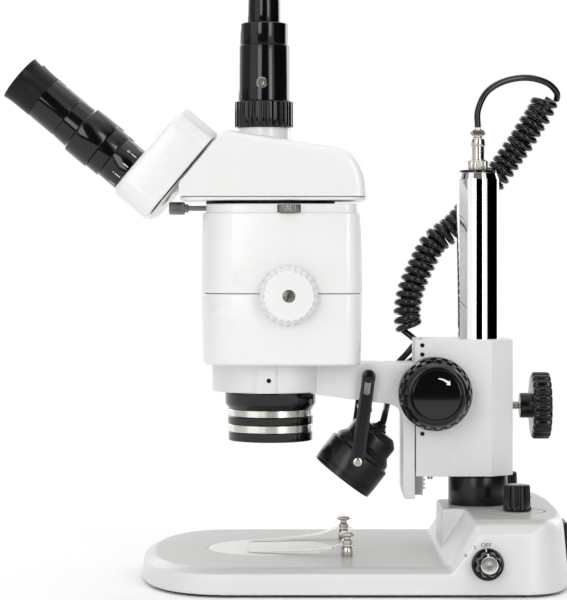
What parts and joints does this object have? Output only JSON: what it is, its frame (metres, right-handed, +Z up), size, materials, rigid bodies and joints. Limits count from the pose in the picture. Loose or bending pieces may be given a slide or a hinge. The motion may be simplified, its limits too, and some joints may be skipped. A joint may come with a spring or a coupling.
{
  "type": "stereo microscope",
  "caption": "Stereo zoom microscope on a pillar stand with a lit base, focusing arm, binocular head with a camera tube, and a swinging lamp on a curly cord.",
  "frame": {"origin": "on the bench, under the middle of the object's box without its cord and plug", "axes": "+Z up, -X towards the observer, +X towards the pillar, -Y to the observer's right"},
  "size_m": [0.4252, 0.2602, 0.4376],
  "materials": {
    "white_gloss": "glossy white paint",
    "white_satin": "satin off-white paint",
    "stage_white": "fine matt white",
    "black_gloss": "glossy black lacquer",
    "black_satin": "satin black",
    "rubber": "matt black rubber",
    "chrome": "polished",
    "steel": "bright turned",
    "dark_steel": "knurled, dark nickel",
    "reflector": "bright reflector",
    "glass": "clear",
    "cord": "glossy black sheath"
  },
  "bodies": {
    "base": {"base_casting": "white_satin", "base_cover": "black_satin", "foot_1": "rubber", "foot_2": "rubber", "foot_3": "rubber", "foot_4": "rubber", "stage_plate": "stage_white", "power_inlet": "black_satin", "pillar": "chrome", "pillar_cap": "black_gloss", "lamp_plug": "steel"},
    "mode_switch": {"mode_knob": "black_gloss"},
    "brightness_right": {"brightness_knob_right": "black_satin"},
    "brightness_left": {"brightness_knob_left": "black_satin"},
    "clip_right": {"clip_post_right": "steel", "clip_spring_right": "steel"},
    "clip_left": {"clip_post_left": "steel", "clip_spring_left": "steel"},
    "stop_collar": {"stop_collar": "black_gloss"},
    "focus_block": {"focus_block": "white_satin", "cord_upper_lead": "cord", "cord_coil": "cord"},
    "clamp_screw": {"clamp_screw": "black_satin"},
    "focus_drive": {"focus_shaft": "steel", "focus_knob_right": "black_satin", "focus_knob_left": "black_satin"},
    "carriage": {"arm_carriage": "white_satin", "focus_rack": "steel", "fork_knob_right": "black_satin", "fork_knob_left": "black_satin", "cord_lower_lead": "cord"},
    "lamp_fork": {"lamp_fork": "black_satin"},
    "lamp": {"lamp_housing": "black_satin", "lamp_glass": "glass", "lamp_bulb": "reflector", "lamp_gland": "black_satin", "lamp_screw_right": "steel", "lamp_screw_left": "steel"},
    "zoom_body": {"zoom_body_lower": "white_gloss", "zoom_body_upper": "white_gloss", "objective_barrel": "black_gloss", "objective_lens": "glass"},
    "zoom_spindle": {"zoom_shaft": "steel", "zoom_knob_right": "white_gloss", "zoom_knob_left": "white_gloss"},
    "aperture_wheel": {"aperture_wheel": "dark_steel"},
    "head_lock_screw": {"head_lock_screw": "dark_steel"},
    "head": {"head_base": "white_gloss", "head_housing": "white_gloss", "binocular_plate": "steel"},
    "photo_clamp_ring": {"photo_clamp_ring": "black_gloss"},
    "photo_tube": {"photo_tube": "black_gloss"},
    "prism_right": {"prism_box_right": "white_gloss"},
    "dioptre_right": {"dioptre_ring_right": "black_satin"},
    "eyepiece_right": {"eyepiece_right": "black_satin", "eyecup_right": "rubber"},
    "prism_left": {"prism_box_left": "white_gloss"},
    "dioptre_left": {"dioptre_ring_left": "black_satin"},
    "eyepiece_left": {"eyepiece_left": "black_satin", "eyecup_left": "rubber"}
  },
  "joints": [
    {"name": "pillar_swivel", "type": "hinge", "parent": "base", "child": "stop_collar", "pos_m": [0.1441, 0.00814, 0.065], "axis": [0, 0, 1], "range_deg": [-20, 20]},
    {"name": "pillar_height", "type": "slide", "parent": "stop_collar", "child": "focus_block", "axis": [0, 0, 1], "range_m": [0, 0.12], "deforming": ["cord_upper_lead"]},
    {"name": "focus_slide", "type": "slide", "parent": "focus_block", "child": "carriage", "axis": [0, 0, 1], "range_m": [-0.014, 0.025], "deforming": ["cord_coil"]},
    {"name": "focus_turn", "type": "hinge", "parent": "focus_block", "child": "focus_drive", "pos_m": [0.1091, 0.00814, 0.14], "axis": [0, 1, 0], "range_deg": [-135, 240]},
    {"name": "clamp_turn", "type": "hinge", "parent": "focus_block", "child": "clamp_screw", "pos_m": [0.1911, 0.00814, 0.1288], "axis": [1, 0, 0], "range_deg": [0, 180]},
    {"name": "fork_swing", "type": "hinge", "parent": "carriage", "child": "lamp_fork", "pos_m": [0.0599, 0.00814, 0.1529], "axis": [0, 1, 0], "range_deg": [0, 5]},
    {"name": "lamp_tilt", "type": "hinge", "parent": "lamp_fork", "child": "lamp", "pos_m": [0.05145, 0.00814, 0.08876], "axis": [0, 1, 0], "range_deg": [-30, 10], "deforming": ["cord_lower_lead"]},
    {"name": "body_turn", "type": "hinge", "parent": "carriage", "child": "zoom_body", "pos_m": [-0.0139, 0.00814, 0.15], "axis": [0, 0, 1], "range_deg": [-45, 45]},
    {"name": "zoom_turn", "type": "hinge", "parent": "zoom_body", "child": "zoom_spindle", "pos_m": [0, 0.00814, 0.2136], "axis": [0, 1, 0], "range_deg": [0, 180]},
    {"name": "aperture_turn", "type": "hinge", "parent": "zoom_body", "child": "aperture_wheel", "pos_m": [0.0001, -0.04786, 0.278], "axis": [0, 0, 1], "range_deg": [0, 90]},
    {"name": "head_lock_turn", "type": "hinge", "parent": "zoom_body", "child": "head_lock_screw", "pos_m": [-0.0849, 0.00814, 0.2788], "axis": [1, 0, 0], "range_deg": [0, 180]},
    {"name": "head_turn", "type": "hinge", "parent": "zoom_body", "child": "head", "pos_m": [-0.0139, 0.00814, 0.284], "axis": [0, 0, 1], "range_deg": [-60, 60]},
    {"name": "photo_ring_turn", "type": "hinge", "parent": "head", "child": "photo_clamp_ring", "pos_m": [-0.0189, 0.00814, 0.35], "axis": [0, 0, 1], "range_deg": [0, 60]},
    {"name": "photo_tube_slide", "type": "slide", "parent": "head", "child": "photo_tube", "axis": [0, 0, 1], "range_m": [0, 0.03]},
    {"name": "ipd_right", "type": "hinge", "parent": "head", "child": "prism_right", "pos_m": [-0.07173, -0.02286, 0.31178], "axis": [-0.766, 0, 0.6428], "range_deg": [-8, 8]},
    {"name": "dioptre_turn_right", "type": "hinge", "parent": "prism_right", "child": "dioptre_right", "pos_m": [-0.12423, -0.02386, 0.31144], "axis": [-0.766, 0, 0.6428], "range_deg": [0, 271]},
    {"name": "eyepiece_focus_right", "type": "slide", "parent": "prism_right", "child": "eyepiece_right", "axis": [-0.766, 0, 0.6428], "range_m": [0, 0.003]},
    {"name": "ipd_left", "type": "hinge", "parent": "head", "child": "prism_left", "pos_m": [-0.07173, 0.03914, 0.31178], "axis": [-0.766, 0, 0.6428], "range_deg": [-8, 8]},
    {"name": "dioptre_turn_left", "type": "hinge", "parent": "prism_left", "child": "dioptre_left", "pos_m": [-0.12423, 0.04014, 0.31144], "axis": [-0.766, 0, 0.6428], "range_deg": [0, 271]},
    {"name": "eyepiece_focus_left", "type": "slide", "parent": "prism_left", "child": "eyepiece_left", "axis": [-0.766, 0, 0.6428], "range_m": [0, 0.003]},
    {"name": "mode_turn", "type": "hinge", "parent": "base", "child": "mode_switch", "pos_m": [0.1411, -0.11206, 0.024], "axis": [0, -0.9962, 0.0872], "range_deg": [0, 70]},
    {"name": "brightness_turn_right", "type": "hinge", "parent": "base", "child": "brightness_right", "pos_m": [0.1691, -0.04186, 0.064], "axis": [0, 0, -1], "range_deg": [0, 270]},
    {"name": "brightness_turn_left", "type": "hinge", "parent": "base", "child": "brightness_left", "pos_m": [0.1691, 0.05814, 0.064], "axis": [0, 0, -1], "range_deg": [0, 270]},
    {"name": "clip_swing_right", "type": "hinge", "parent": "base", "child": "clip_right", "pos_m": [0.0431, -0.04386, 0.029], "axis": [0, 0, 1], "range_deg": [-20, 20]},
    {"name": "clip_swing_left", "type": "hinge", "parent": "base", "child": "clip_left", "pos_m": [0.0431, 0.06014, 0.029], "axis": [0, 0, 1], "range_deg": [-20, 20]}
  ],
  "couplings": [
    {"joint": "focus_turn", "follows": "focus_slide", "rad_per_m": 166.67},
    {"joint": "dioptre_turn_right", "follows": "eyepiece_focus_right", "rad_per_m": 1570.8},
    {"joint": "dioptre_turn_left", "follows": "eyepiece_focus_left", "rad_per_m": 1570.8},
    {"joint": "ipd_left", "follows": "ipd_right", "ratio": -1}
  ]
}
